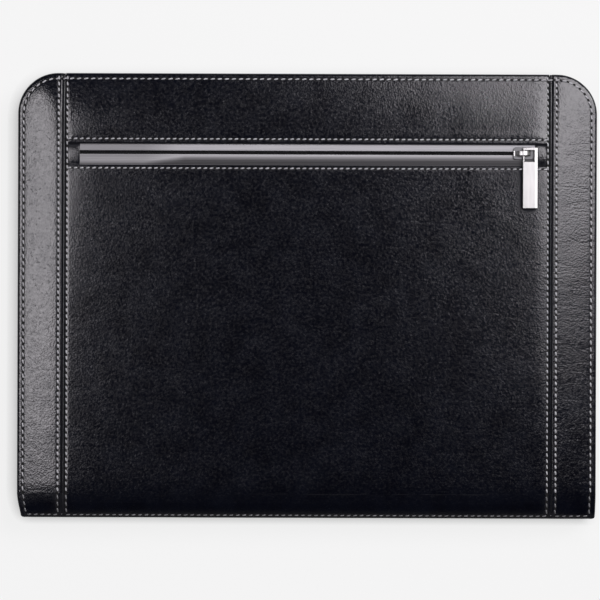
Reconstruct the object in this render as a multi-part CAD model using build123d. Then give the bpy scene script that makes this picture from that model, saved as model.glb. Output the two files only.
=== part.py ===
"""Zippered padfolio: a padded leather case that opens like a book round a letter-size writing pad.

It lies on its back cover. +Z is up, out of the front cover. +Y runs from the spine to the fore edge, and
+X runs along the spine. The origin is under the middle of the case, on the surface that it lies on.
Read with the spine upright, the head of the page is at -X and the back cover is on the right.
All sizes are in millimetres.
"""
from build123d import *
import os

# Writing pad, which the case is sized round
pad_length = 298.0
pad_width = 216.0
pad_sheets_thickness = 5.0
pad_backing_thickness = 0.7
pad_binding_thickness = 0.4
pad_binding_depth = 12.0
pad_end_room = 17.0
pad_gutter_room = 9.0
pad_fore_room = 18.5

# Materials of the covers
leather = 1.2
board = 1.8
lining = 0.5
seat_gap = 0.2

# Cover outline
corner_radius = 24.0
fold_reach = 15.0
fold_height = 10.0
fold_gap = 0.3
board_setback = 1.5
spine_end_inset = 2.0
edge_fillet = 0.8

# Front cover panels
band_width = 27.5
seam_gap = 0.6
fore_slope_width = 20.0
crown_corner_radius = 6.0
top_strip_depth = 42.0

# Zipped pocket in the front cover
window_height = 12.5
window_end_margin = 9.35
zip_offset = 1.2
tape_gap = 2.0
tape_tuck = 5.0
bag_cloth = 0.3
pocket_gap = 1.2
bag_side_margin = 3.0
bag_bottom_margin = 12.0
bag_seam_width = 2.0
trough_clearance = 2.5
floor_clearance = 0.5

# Zip chains, tapes and stops
tape_thickness = 0.6
coil_width = 2.8
coil_thickness = 1.6
chain_gap = 0.9
main_tape_thickness = 0.7
main_coil_thickness = 2.4
wall_inset = 5.5
flange_edge_margin = 0.6
chain_end_margin = 12.0
stop_length = 2.0
stop_wrap = 0.4

# Sliders
slider_length = 12.4
slider_plate = 0.8
slider_gap = 0.2
slider_cheek = 0.4
slider_end_gap = 0.8
web_length = 4.0
web_thickness = 0.5
crown_length = 8.2
crown_width = 3.0
crown_end_height = 0.9
crown_cover = 0.9
plate_fillet = 0.25
crown_fillet = 0.45
nose_radius = 0.7

# Pull tabs
pull_length = 35.5
pull_width = 8.8
pull_thickness = 1.6
pull_end_bar = 1.2
pull_lift = 0.5
pull_chamfer = 0.35
ring_reach = 6.4
ring_width = 5.4
ring_length = 7.1
ring_offset = 1.55
pull_bevel_width = 1.5
bar_diameter = 1.3
bar_clearance = 0.1
bar_root = 0.5

# Inside of the case
document_room = 9.9
pocket_panel = 0.9
pad_pocket_gap = 0.8
pad_pocket_length = 199.65
pad_pocket_margin = 6.0
pad_pocket_lip = 4.0
document_pocket_gap = 1.5
document_pocket_lip = 3.0
card_zone_length = 103.65
document_pocket_margin = 8.0
card_slot_thickness = 0.7
card_slot_count = 3
card_slot_step = 12.0
card_slot_mouth_height = 26.0
card_panel_gap = 9.0
card_panel_width = 204.0

# Pen loop
pen_diameter = 11.4
pen_loop_thickness = 0.9
pen_loop_length = 26.0
pen_loop_base_height = 8.0

# Heights, from the surface that the case lies on
back_board_z = leather
back_lining_z = back_board_z + board
inside_floor_z = back_lining_z + lining
pad_stack = pad_pocket_gap + pocket_panel + pad_sheets_thickness
card_stack = card_slot_count * card_slot_thickness
pocket_stack = max(document_pocket_gap + pocket_panel, card_stack)
inside_height = pad_stack + document_room + pocket_stack
inside_ceiling_z = inside_floor_z + inside_height
front_board_z = inside_ceiling_z + lining
foam_z = front_board_z + board
zip_depth = tape_thickness + coil_thickness + slider_gap + slider_plate + floor_clearance
front_skin_z = foam_z + bag_cloth + zip_depth
foam_thickness = zip_depth - bag_cloth - pocket_gap
case_top_z = front_skin_z + leather
edge_top_z = foam_z + leather
bag_back_z = foam_z + foam_thickness
bag_front_z = front_skin_z - bag_cloth

# Plan positions
wall_face = wall_inset + main_tape_thickness / 2
case_length = pad_length + 2 * (pad_end_room + wall_inset)
case_depth = fold_reach + pad_gutter_room + pad_width + pad_fore_room + wall_inset
half_length = case_length / 2
fore_y = case_depth / 2
spine_y = -case_depth / 2
cover_start_y = spine_y + fold_reach + fold_gap
board_start_y = cover_start_y + board_setback
pad_start_y = spine_y + fold_reach + pad_gutter_room
seam_x = half_length - band_width
window_x = seam_x - window_end_margin
window_top_y = fore_y - top_strip_depth
window_bottom_y = window_top_y - window_height
zip_y = window_top_y - window_height / 2 + zip_offset
document_pocket_open_x = card_zone_length + wall_face - half_length

# Slider heights above the tape or coil that they run on
slider_width = chain_gap + 2 * (coil_width + slider_cheek)
bar_height = slider_plate + pull_lift + pull_thickness / 2
crown_height = bar_height + bar_diameter / 2 + bar_clearance + crown_cover
chain_mid_z = inside_floor_z + inside_height / 2


def block(x0, x1, y0, y1, z0, z1):
    """A box between two corners."""
    size = Box(x1 - x0, y1 - y0, z1 - z0)
    return Pos((x0 + x1) / 2, (y0 + y1) / 2, (z0 + z1) / 2) * size


def outline(inset, start_y=cover_start_y, fore_inset=None, radius=None):
    """A cover's outline, drawn in by inset, with round corners at the fore edge only."""
    fore_inset = inset if fore_inset is None else fore_inset
    radius = corner_radius - inset if radius is None else radius
    half = half_length - inset
    end_y = fore_y - fore_inset
    middle_y = (start_y + end_y) / 2
    face = Pos(0, middle_y) * Rectangle(2 * half, end_y - start_y)
    corners = face.vertices().sort_by(Axis.Y)[-2:]
    return fillet(corners, radius)


def slab(face, z0, z1):
    """A flat face, raised from z0 to z1."""
    return Pos(0, 0, z0) * extrude(face, z1 - z0)


def rim(outer_inset, inner_inset, start_y, z0, z1):
    """A wall that follows the cover's outline round its three free sides."""
    ring = outline(outer_inset, start_y) - outline(inner_inset, start_y)
    return slab(ring, z0, z1)


def crowned(inset, z0, z1, z2):
    """The padded front of the cover: an upright edge from z0 to z1, then sloping sides up to z2."""
    edge = outline(inset)
    crown = outline(band_width, fore_inset=fore_slope_width, radius=crown_corner_radius)
    slopes = loft([Pos(0, 0, z1) * edge.face(), Pos(0, 0, z2) * crown.face()], ruled=True)
    return slab(edge, z0, z1) + slopes


def back_leather():
    """Outer leather of the back cover, turned up round the board on its three free sides."""
    pan = slab(outline(0), 0, back_lining_z)
    low_edges = pan.edges().group_by(Axis.Z)[0].filter_by_position(Axis.Y, cover_start_y + 1, fore_y)
    pan = fillet(low_edges, edge_fillet)
    return pan - slab(outline(leather), leather, back_lining_z)


def board_outline():
    """Stiffening board, inside the turned leather."""
    return outline(leather + seat_gap, board_start_y)


def lining_outline():
    """Lining, which reaches to the zip's tape."""
    return outline(wall_face + seat_gap, board_start_y)


def front_skin():
    """All the leather of the front cover, before it is cut into its panels."""
    outside = crowned(0, front_board_z, edge_top_z, case_top_z)
    inside = crowned(leather, front_board_z, foam_z, front_skin_z)
    return outside - inside


def front_panels():
    """The front leather, cut along its seams and round the pocket's window."""
    skin = front_skin()
    seam = seam_gap / 2
    low_z, high_z = front_board_z, case_top_z
    inner_x = seam_x - seam

    def cut(x0, x1, y0, y1):
        return skin & block(x0, x1, y0, y1, low_z, high_z)

    return {
        "front_left_band": cut(-half_length, -seam_x - seam, cover_start_y, fore_y),
        "front_right_band": cut(seam_x + seam, half_length, cover_start_y, fore_y),
        "front_top_strip": cut(-inner_x, inner_x, window_top_y, fore_y),
        "front_centre_panel": cut(-inner_x, inner_x, cover_start_y, window_bottom_y),
        "pocket_end_tab_left": cut(-inner_x, -window_x, window_bottom_y, window_top_y),
        "pocket_end_tab_right": cut(window_x, inner_x, window_bottom_y, window_top_y),
    }


def trough_half_width():
    """Half the width of the channel that the pocket's slider runs in."""
    return slider_width / 2 + trough_clearance


def front_foam():
    """Padding under the front leather, with a channel for the pocket's zip."""
    share = foam_thickness / (front_skin_z - foam_z)
    edge = leather + seat_gap
    side_inset = edge + share * (band_width - leather)
    fore_inset = edge + share * (fore_slope_width - leather)
    radius = corner_radius - share * (corner_radius - crown_corner_radius)
    low = outline(edge, board_start_y)
    high = outline(side_inset, board_start_y, fore_inset, radius)
    pad = loft([Pos(0, 0, foam_z) * low.face(), Pos(0, 0, bag_back_z) * high.face()], ruled=True)
    half = trough_half_width()
    reach = window_x + tape_tuck
    return pad - block(-reach, reach, zip_y - half, zip_y + half, foam_z, bag_back_z)


def pocket_bag():
    """Cloth bag behind the window: its back dips under the zip, and its front hangs from the lower tape."""
    half = seam_x - bag_side_margin
    reach = window_x + tape_tuck
    trough = trough_half_width()
    low_y, high_y = zip_y - trough, zip_y + trough
    bottom_y = board_start_y + bag_bottom_margin
    tape_end_y = window_top_y + tape_tuck
    tape_z = front_skin_z - tape_thickness
    back = block(-half, half, bottom_y, low_y, bag_back_z, bag_back_z + bag_cloth)
    back += block(-reach, reach, low_y, low_y + bag_cloth, foam_z, bag_back_z + bag_cloth)
    back += block(-reach, reach, low_y, high_y, foam_z, foam_z + bag_cloth)
    back += block(-reach, reach, high_y - bag_cloth, high_y, foam_z, tape_z)
    back += block(-reach, reach, high_y - bag_cloth, tape_end_y, tape_z - bag_cloth, tape_z)
    front_end_y = window_bottom_y - tape_tuck
    front = block(-half, half, bottom_y, front_end_y, bag_front_z, front_skin_z)
    gap = (bag_back_z + bag_cloth, bag_front_z)
    seams = block(-half, half, bottom_y, bottom_y + bag_seam_width, *gap)
    for side in (-1, 1):
        x0, x1 = sorted((side * half, side * (half - bag_seam_width)))
        seams += block(x0, x1, bottom_y, front_end_y, *gap)
    return back + front + seams


def pocket_tape(side):
    """One tape of the pocket's zip, tucked under the leather: side 1 is the upper one."""
    near = zip_y + side * tape_gap / 2
    far = window_top_y + tape_tuck if side > 0 else window_bottom_y - tape_tuck
    reach = window_x + tape_tuck
    y0, y1 = sorted((near, far))
    return block(-reach, reach, y0, y1, front_skin_z - tape_thickness, front_skin_z)


def pocket_coil(side):
    """The coil sewn under one tape of the pocket's zip."""
    near = zip_y + side * chain_gap / 2
    y0, y1 = sorted((near, near + side * coil_width))
    top = front_skin_z - tape_thickness
    return block(-window_x, window_x, y0, y1, top - coil_thickness, top)


def pocket_stops():
    """Metal stops on the two ends of the pocket's chain."""
    half = chain_gap / 2 + coil_width
    top = front_skin_z - tape_thickness
    low = top - coil_thickness
    ends = []
    for x0 in (-window_x - stop_length, window_x):
        ends.append(block(x0, x0 + stop_length, zip_y - half, zip_y + half, low, top))
    return Compound(children=ends)


def slider(length, gap_between_plates):
    """A zip slider that runs along X over a chain, whose near face is at z 0: two plates, the web
    between the chains, and the crown with an eye across it for the pull."""
    base = RectangleRounded(length, slider_width, slider_width / 4)
    top_plate = slab(base, 0, slider_plate)
    low_z = -gap_between_plates - slider_plate
    low_plate = slab(base, low_z, low_z + slider_plate)
    top_plate = fillet(top_plate.edges().group_by(Axis.Z)[-1], plate_fillet)
    low_plate = fillet(low_plate.edges().group_by(Axis.Z)[0], plate_fillet)
    half_web = web_length / 2
    web = block(-half_web, half_web, -web_thickness / 2, web_thickness / 2, -gap_between_plates, 0)
    half = crown_length / 2
    foot_z = slider_plate + crown_end_height
    foot = Polyline((-half, foot_z), (-half, slider_plate), (half, slider_plate), (half, foot_z))
    arch = ThreePointArc((half, foot_z), (0, crown_height), (-half, foot_z))
    profile = make_face(Plane.XZ * (foot + arch))
    crown = extrude(profile, crown_width / 2, both=True)
    crown = fillet(crown.edges().filter_by(Axis.Y, reverse=True).group_by(Axis.Z)[-1], crown_fillet)
    eye = Rot(90, 0, 0) * Cylinder(bar_diameter / 2 + bar_clearance, 2 * crown_width)
    nose = Rot(90, 0, 0) * Cylinder(nose_radius, crown_width)
    nose = Pos(nose_radius - length / 2, 0, slider_plate) * nose
    nose -= block(-length, length, -crown_width, crown_width, -slider_plate, slider_plate)
    return top_plate + low_plate + web + crown + nose - Pos(0, 0, bar_height) * eye


def pull_section(x0, x1):
    """Section across a pull tab, with broken edges and a wide bevel along one side of its face."""
    half, edge = pull_thickness / 2, pull_chamfer
    low = [(x0, edge - half), (x0 + edge, -half), (x1 - edge, -half), (x1, edge - half)]
    high = [(x1, half - edge), (x1 - pull_bevel_width, half), (x0 + edge, half), (x0, half - edge)]
    return make_face(Plane.XZ * Polyline(*low, *high, close=True))


def pull(bar_on_side):
    """A pull tab in the XY plane with its hinge bar through the origin. With the bar on its side the
    bar runs along the tab, and otherwise across its head. The tab reaches towards -Y."""
    bar = bar_diameter / 2
    thick = pull_thickness
    if bar_on_side:
        x0, x1 = -bar, pull_width - bar
        ring_top = ring_length / 2 - ring_offset
        y1 = ring_top + pull_end_bar
        gap = block(x0, ring_reach, ring_top - ring_length, ring_top, -thick, thick)
        turn = Pos(0, -ring_offset, 0) * Rot(90, 0, 0)
        bar_length = ring_length
    else:
        x0, x1 = -pull_width / 2, pull_width / 2
        y1 = bar
        gap = block(-ring_width / 2, ring_width / 2, -ring_reach, y1, -thick, thick)
        turn = Rot(0, 90, 0)
        bar_length = ring_width
    plate = Pos(0, y1, 0) * extrude(pull_section(x0, x1), pull_length)
    pin = turn * Cylinder(bar, bar_length + 2 * bar_root)
    return plate - gap + pin


def pocket_slider_place():
    """Where the pocket's closed slider sits: on the tapes, at the right end of the window."""
    x = window_x - slider_end_gap - slider_length / 2
    return Pos(x, zip_y, front_skin_z + slider_gap)


def pocket_slider():
    """Slider of the pocket's zip."""
    gap = slider_gap + tape_thickness + coil_thickness + slider_gap
    return pocket_slider_place() * slider(slider_length, gap)


def pocket_pull():
    """Pull of the pocket's zip, hanging by the side of its ring as it lies on the cover."""
    return pocket_slider_place() * Pos(0, 0, bar_height) * pull(bar_on_side=True)


def chain_start_y():
    """Where the main zip's chain begins, near the spine."""
    return cover_start_y + chain_end_margin


def main_tape(root_z, edge_z):
    """One tape of the main zip: a flange sewn into the cover's edge and a wall up to the coil."""
    low, high = sorted((root_z, edge_z))
    flange_z = (root_z, root_z + lining) if edge_z > root_z else (root_z - lining, root_z)
    outer = wall_inset - main_tape_thickness / 2
    wall = rim(outer, wall_face, cover_start_y, low, high)
    return wall + rim(flange_edge_margin, outer, cover_start_y, *flange_z)


def main_coil(z0, z1):
    """The coil along the free edge of one main tape."""
    half = main_coil_thickness / 2
    return rim(wall_inset - half, wall_inset + half, chain_start_y(), z0, z1)


def main_stops(z0, z1):
    """Metal stops at the two ends of one main coil."""
    half = main_coil_thickness / 2 + stop_wrap
    y1 = chain_start_y()
    middle_x = half_length - wall_inset
    ends = []
    for side in (-1, 1):
        x0, x1 = side * middle_x - half, side * middle_x + half
        ends.append(block(x0, x1, y1 - stop_length, y1, z0, z1))
    return Compound(children=ends)


def main_slider_place():
    """Where the closed main slider sits: on the right-hand wall, near the spine, facing out."""
    y = chain_start_y() + slider_end_gap + slider_length / 2
    x = half_length - wall_inset + main_coil_thickness / 2 + slider_gap
    return Location(Plane(origin=(x, y, chain_mid_z), x_dir=(0, 1, 0), z_dir=(1, 0, 0)))


def main_slider():
    """Slider of the main zip."""
    return main_slider_place() * slider(slider_length, main_coil_thickness + 2 * slider_gap)


def main_pull():
    """Pull of the main zip, folded back along the chain under the covers' edges."""
    return main_slider_place() * Pos(0, 0, bar_height) * Rot(0, 0, 90) * pull(bar_on_side=False)


def fold_section(x, upper, drop):
    """Quarter-round section of a fold strip at x, flattened by drop where the cover's edge is lower."""
    wide, tall = fold_reach, fold_height - drop
    start = 90 if upper else 180
    outer = EllipticalCenterArc((0, 0), wide, tall, start, arc_size=90)
    inner = EllipticalCenterArc((0, 0), wide - leather, tall - leather, start, arc_size=90)
    ends = [Line(outer @ end, inner @ end) for end in (0, 1)]
    centre_z = case_top_z - fold_height if upper else fold_height
    return Pos(x, spine_y + fold_reach, centre_z) * (Plane.YZ * make_face([outer, inner] + ends))


def fold(upper):
    """Quarter-round leather between a cover and the spine. The upper one slopes down at both ends, in
    line with the bands."""
    half = half_length - spine_end_inset
    if not upper:
        return extrude(fold_section(0, upper, 0), half, both=True)
    slope = (case_top_z - edge_top_z) / band_width
    drop = slope * (half - seam_x)
    strip = extrude(fold_section(0, upper, 0), seam_x, both=True)
    for side in (-1, 1):
        ends = [fold_section(side * seam_x, upper, 0), fold_section(side * half, upper, drop)]
        strip += loft(ends, ruled=True)
    return strip


def spine_layer(y0, y1):
    """One flat layer of the spine, between its two folds."""
    half = half_length - spine_end_inset
    return block(-half, half, spine_y + y0, spine_y + y1, fold_height, case_top_z - fold_height)


def pen_loop():
    """Loop for a pen, sewn to the spine's lining by its flat base."""
    inner = pen_diameter / 2
    outer = inner + pen_loop_thickness
    face_y = spine_y + leather + board + lining
    half = pen_loop_length / 2
    ring = Circle(outer) + Pos(-outer + pen_loop_thickness / 2, 0) * Rectangle(
        pen_loop_thickness, pen_loop_base_height
    )
    loop = extrude(Plane.YZ * (ring - Circle(inner)), half, both=True)
    return Pos(0, face_y + outer, case_top_z / 2) * loop


def pocket_lips(x0, x1, y0, y1, z0, z1, width):
    """The sewn sides and foot of a pocket that is open towards -X."""
    return [
        block(x0, x1 - width, y0, y0 + width, z0, z1),
        block(x0, x1 - width, y1 - width, y1, z0, z1),
        block(x1 - width, x1, y0, y1, z0, z1),
    ]


def pad_pocket():
    """Panel over the foot of the back cover, behind which the pad's backing slides."""
    x1 = half_length - wall_face - pad_pocket_margin
    x0 = x1 - pad_pocket_length
    y0, y1 = pad_start_y - pad_pocket_margin, pad_start_y + pad_width + pad_pocket_margin
    z0 = inside_floor_z + pad_pocket_gap
    panel = block(x0, x1, y0, y1, z0, z0 + pocket_panel)
    lips = Compound(children=pocket_lips(x0, x1, y0, y1, inside_floor_z, z0, pad_pocket_lip))
    return panel, lips


def document_pocket():
    """Panel over the foot of the front cover's inside, for loose papers."""
    x0, x1 = document_pocket_open_x, half_length - wall_face - document_pocket_margin
    y0 = board_start_y + document_pocket_margin
    y1 = fore_y - wall_face - document_pocket_margin
    z1 = inside_ceiling_z - document_pocket_gap
    panel = block(x0, x1, y0, y1, z1 - pocket_panel, z1)
    lips = Compound(children=pocket_lips(x0, x1, y0, y1, z1, inside_ceiling_z, document_pocket_lip))
    return panel, lips


def card_slot(layer):
    """One card panel of the stepped set beyond the document pocket. Layer 0 lies on the lining."""
    x1 = document_pocket_open_x - card_panel_gap
    steps = card_slot_count - 1 - layer
    x0 = x1 - card_slot_mouth_height - steps * card_slot_step
    middle_y = (board_start_y + fore_y - wall_face) / 2
    half = card_panel_width / 2
    z1 = inside_ceiling_z - layer * card_slot_thickness
    return block(x0, x1, middle_y - half, middle_y + half, z1 - card_slot_thickness, z1)


def pad_parts():
    """The writing pad: backing behind the pocket panel, sheets in front of it, and the bound head."""
    half = pad_length / 2
    y0, y1 = pad_start_y, pad_start_y + pad_width
    sheets_z = inside_floor_z + pad_pocket_gap + pocket_panel
    top_z = sheets_z + pad_sheets_thickness
    head = -half
    binding = block(head - pad_binding_thickness, head, y0, y1, inside_floor_z, top_z)
    flap_x = head + pad_binding_depth
    flap_top = top_z + pad_binding_thickness
    binding += block(head - pad_binding_thickness, flap_x, y0, y1, top_z, flap_top)
    return {
        "pad_backing": block(-half, half, y0, y1, inside_floor_z, inside_floor_z + pad_backing_thickness),
        "pad_sheets": block(-half, half, y0, y1, sheets_z, top_z),
        "pad_binding": binding,
    }


def main_zip_parts():
    """The main zip's tapes, coils and stops. Its two halves meet half way up the case."""
    back_coil_top = chain_mid_z - chain_gap / 2
    back_coil_low = back_coil_top - coil_width
    front_coil_low = chain_mid_z + chain_gap / 2
    front_coil_top = front_coil_low + coil_width
    return {
        "back_zip_tape": main_tape(back_lining_z, back_coil_low),
        "back_zip_coil": main_coil(back_coil_low, back_coil_top),
        "back_zip_stops": main_stops(back_coil_low, back_coil_top),
        "front_zip_tape": main_tape(front_board_z, front_coil_top),
        "front_zip_coil": main_coil(front_coil_low, front_coil_top),
        "front_zip_stops": main_stops(front_coil_low, front_coil_top),
    }


def all_parts():
    """Every sub-part by its node's name."""
    pad_panel, pad_lips = pad_pocket()
    document_panel, document_lips = document_pocket()
    parts = {
        "back_leather": back_leather(),
        "back_board": slab(board_outline(), back_board_z, back_lining_z),
        "back_lining": slab(lining_outline(), back_lining_z, inside_floor_z),
        "pad_pocket_panel": pad_panel,
        "pad_pocket_lips": pad_lips,
        "front_foam": front_foam(),
        "front_board": slab(board_outline(), front_board_z, foam_z),
        "front_lining": slab(lining_outline(), inside_ceiling_z, front_board_z),
        "pocket_bag": pocket_bag(),
        "pocket_tape_upper": pocket_tape(1),
        "pocket_tape_lower": pocket_tape(-1),
        "pocket_coil_upper": pocket_coil(1),
        "pocket_coil_lower": pocket_coil(-1),
        "pocket_zip_stops": pocket_stops(),
        "pocket_slider": pocket_slider(),
        "pocket_pull": pocket_pull(),
        "main_slider": main_slider(),
        "main_pull": main_pull(),
        "document_pocket_panel": document_panel,
        "document_pocket_lips": document_lips,
        "front_fold_leather": fold(upper=True),
        "back_fold_leather": fold(upper=False),
        "spine_leather": spine_layer(0, leather),
        "spine_board": spine_layer(leather, leather + board),
        "spine_lining": spine_layer(leather + board, leather + board + lining),
        "pen_loop": pen_loop(),
    }
    for layer in range(card_slot_count):
        parts[f"card_slot_{layer + 1}"] = card_slot(layer)
    parts.update(front_panels())
    parts.update(pad_parts())
    parts.update(main_zip_parts())
    return parts


def main():
    os.makedirs("parts", exist_ok=True)
    for name, shape in all_parts().items():
        export_step(shape, f"parts/{name}.step")
    print(f"case {case_length:.1f} x {case_depth:.1f} x {case_top_z:.2f} mm")
    print(f"inside {inside_floor_z:.2f} to {inside_ceiling_z:.2f}, chain at {chain_mid_z:.2f}")


main()
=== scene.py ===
"""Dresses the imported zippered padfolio: leather panels, stitching, zips, lining, pockets and writing pad.

Sizes are in millimetres and are turned into metres where a mesh is made. +X runs along the spine, +Y from
the spine to the fore edge and +Z up out of the front cover.
"""

import math

import bpy
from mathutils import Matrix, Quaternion, Vector, noise


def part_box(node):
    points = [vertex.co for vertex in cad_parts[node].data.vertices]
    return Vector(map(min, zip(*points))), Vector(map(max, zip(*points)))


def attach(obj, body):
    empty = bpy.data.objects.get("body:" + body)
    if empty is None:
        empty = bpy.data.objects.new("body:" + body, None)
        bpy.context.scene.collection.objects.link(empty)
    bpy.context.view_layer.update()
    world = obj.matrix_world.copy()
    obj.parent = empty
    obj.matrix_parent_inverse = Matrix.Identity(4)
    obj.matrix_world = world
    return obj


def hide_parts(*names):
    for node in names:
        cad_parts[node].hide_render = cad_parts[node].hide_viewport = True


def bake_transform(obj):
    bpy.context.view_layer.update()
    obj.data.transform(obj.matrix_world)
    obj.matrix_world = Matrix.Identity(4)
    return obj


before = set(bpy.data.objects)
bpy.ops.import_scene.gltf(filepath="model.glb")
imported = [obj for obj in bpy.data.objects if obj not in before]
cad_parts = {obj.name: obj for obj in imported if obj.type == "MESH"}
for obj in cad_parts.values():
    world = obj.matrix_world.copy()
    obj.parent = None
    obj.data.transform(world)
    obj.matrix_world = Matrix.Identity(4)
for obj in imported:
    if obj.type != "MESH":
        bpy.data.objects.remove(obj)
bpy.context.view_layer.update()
MM = 0.001


def node_box(name):
    """Lowest and highest corner of a CAD node, in millimetres."""
    low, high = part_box(name)
    return [c / MM for c in low], [c / MM for c in high]


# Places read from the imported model
BACK_LOW, BACK_HIGH = node_box("back_leather")
CENTRE_HIGH = node_box("front_centre_panel")[1]
TAPE_UP_LOW, TAPE_UP_HIGH = node_box("pocket_tape_upper")
TAPE_DOWN_LOW, TAPE_DOWN_HIGH = node_box("pocket_tape_lower")
BOARD_LOW, BOARD_HIGH = node_box("front_board")
SPINE_LOW, SPINE_HIGH = node_box("spine_leather")

HALF = BACK_HIGH[0]
FORE = BACK_HIGH[1]
START = BACK_LOW[1]
SPINE = SPINE_LOW[1]
TOP = CENTRE_HIGH[2]
LEATHER = TOP - TAPE_UP_HIGH[2]
EDGE_TOP = BOARD_HIGH[2] + LEATHER
RIM_LOW = BOARD_LOW[2]
SEAM_GAP = 0.6
SEAM = CENTRE_HIGH[0] + SEAM_GAP / 2
BAND = HALF - SEAM
WINDOW_TOP = node_box("front_top_strip")[0][1]
WINDOW_LOW = CENTRE_HIGH[1]
WINDOW_X = node_box("pocket_end_tab_right")[0][0]
ZIP_Y = (TAPE_UP_LOW[1] + TAPE_DOWN_HIGH[1]) / 2
SPINE_HALF = SPINE_HIGH[0]
FOLD_Y = node_box("front_fold_leather")[1][1]
FOLD_REACH = FOLD_Y - SPINE
FOLD_HEIGHT = TOP - SPINE_HIGH[2]
FOLD_TOP = TOP - FOLD_HEIGHT
MID_Z = TOP / 2

# The cover's form: corners, slopes and the roll towards the spine
CORNER = 24.0
CORNER_BLEND = 3.2
CORNER_SLOPE = 0.82 * CORNER
FORE_SLOPE = 34.0
BELLY = 0.12
ROLL_REACH = FOLD_REACH + 10.0
ROLL_POWER = 2.6

# How far the panels sink towards the long seams, and over which width
LEAN_DEPTH = 0.45
LEAN_WIDTH = 10.0
LEAN_POWER = 2.0
LEFT_LEAN_DEPTH = 0.8
LEFT_LEAN_WIDTH = 26.0
LEFT_LEAN_POWER = 2.6
BAND_LEAN_DEPTH = 0.25
BAND_LEAN_WIDTH = 9.0
BAND_HEAD = 36.0
LEAN_START = 25.0

# Edges and seams of the leather
RIM_ROLL = 1.3
SEAM_EDGE = 0.8
SEAM_ROLL = 1.1
SEAM_DROP = 0.9
WINDOW_ROLL = 0.9
WELT_WIDTH = 1.3
WELT_DROP = 0.28
SPINE_EDGE = 1.2
SPINE_STEP = 0.55

# Stitch rows: their places beside edges and seams, their pitch, and the channels they pull
EDGE_ROW = 3.4
SEAM_ROW_BAND = 3.2
SEAM_ROW_PANEL = 1.9
WINDOW_ROW_UP = 2.9
WINDOW_ROW_DOWN = 1.9
SPINE_ROW = 2.4
ROW_START = 0.5
ROW_END = 1.2
SEAM_PITCH = 3.55
RIM_PITCH = 4.17
WINDOW_PITCH = 3.68
FOLD_PITCH = 3.85
POCKET_PITCH = 3.3
STITCH_SHARE = 0.76
STITCH_WIDTH = 0.88
BAND_STITCH_WIDTH = 1.1
STITCH_SLANT = 0.16
STITCH_BOW = 0.34
HOLE_SIZE = 1.45
GROOVE_DEPTH = 0.1
GROOVE_WIDTH = 0.75
BACK_GROOVE = 0.5

# Zip
TOOTH_PITCH = 1.6
COIL_DEPTH = 2.4
TROUGH = 6.2

# Steps of a mesh beside an edge, and beside an edge with a stitch row
EDGE_STEPS = (0.0, 0.12, 0.3, 0.55, 0.9, 1.4, 2.1, 3.0)
SEWN_STEPS = (0.0, 0.12, 0.3, 0.55, 0.85, 1.15, 1.5, 1.85, 2.2, 2.5, 2.8, 3.1, 3.4, 3.7, 4.0, 4.4, 5.0)
SEAM_STEPS = (0.0, 0.3, 0.6, 0.85, 1.2, 1.6, 2.2, 3.2)


# Small helpers for numbers and paths

def clamp(value, low=0.0, high=1.0):
    return max(low, min(high, value))


def mix(a, b, share):
    return a + (b - a) * share


def bell(distance, width):
    """1 at no distance, falling off smoothly over width."""
    return math.exp(-(distance / width) ** 2)


def dense(start, end, step, fine=EDGE_STEPS, at_start=True, at_end=True):
    """Numbers from start to end, closer together near the ends, where an edge rolls over."""
    points = {start, end}
    if at_start:
        points.update(start + f for f in fine if start + f < end)
    if at_end:
        points.update(end - f for f in fine if end - f > start)
    low = start + (fine[-1] if at_start else 0)
    high = end - (fine[-1] if at_end else 0)
    count = max(1, round((high - low) / step))
    points.update(low + (high - low) * i / count for i in range(count + 1) if start <= low <= high <= end)
    kept = [start]
    for value in sorted(points):
        if value - kept[-1] > 1e-4:
            kept.append(value)
    kept[-1] = end
    return kept


def ripple(x, y, size, seed):
    """Smooth noise between about -1 and 1, with waves of the given size."""
    return noise.noise(Vector((x / size, y / size, seed)))


def arc(steps, angle=math.pi / 2):
    """Cosine and sine at even steps through an angle, both ends included."""
    return [(math.cos(angle * i / steps), math.sin(angle * i / steps)) for i in range(steps + 1)]


def path_length(path):
    return sum(math.dist(a, b) for a, b in zip(path, path[1:]))


def path_place(path, distance):
    """The point this far along a flat path, and the path's direction there."""
    left = clamp(distance, 0, path_length(path) - 1e-6)
    for a, b in zip(path, path[1:]):
        span = math.dist(a, b)
        if left <= span:
            break
        left -= span
    a, b = Vector(a), Vector(b)
    return a.lerp(b, left / span), (b - a).normalized()


# Meshes

def add_piece(name, shape, material, body, slot, *nodes, smooth_angle=50):
    """A piece from its shape: points in millimetres and faces. It rides on its body, or stays where it is
    made when given two bodies, and hides the CAD nodes that it stands for."""
    points, faces = shape
    mesh = bpy.data.meshes.new(name)
    mesh.from_pydata([(x * MM, y * MM, z * MM) for x, y, z in points], [], faces)
    mesh.validate()
    mesh.materials.append(material)
    mesh.polygons.foreach_set("use_smooth", [True] * len(mesh.polygons))
    mesh.set_sharp_from_angle(angle=math.radians(smooth_angle))
    piece = bpy.data.objects.new(name, mesh)
    bpy.context.scene.collection.objects.link(piece)
    if isinstance(body, tuple):
        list(body)
        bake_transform(piece)
    else:
        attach(piece, body)
    if nodes:
        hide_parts(*nodes)
    return piece


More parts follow.
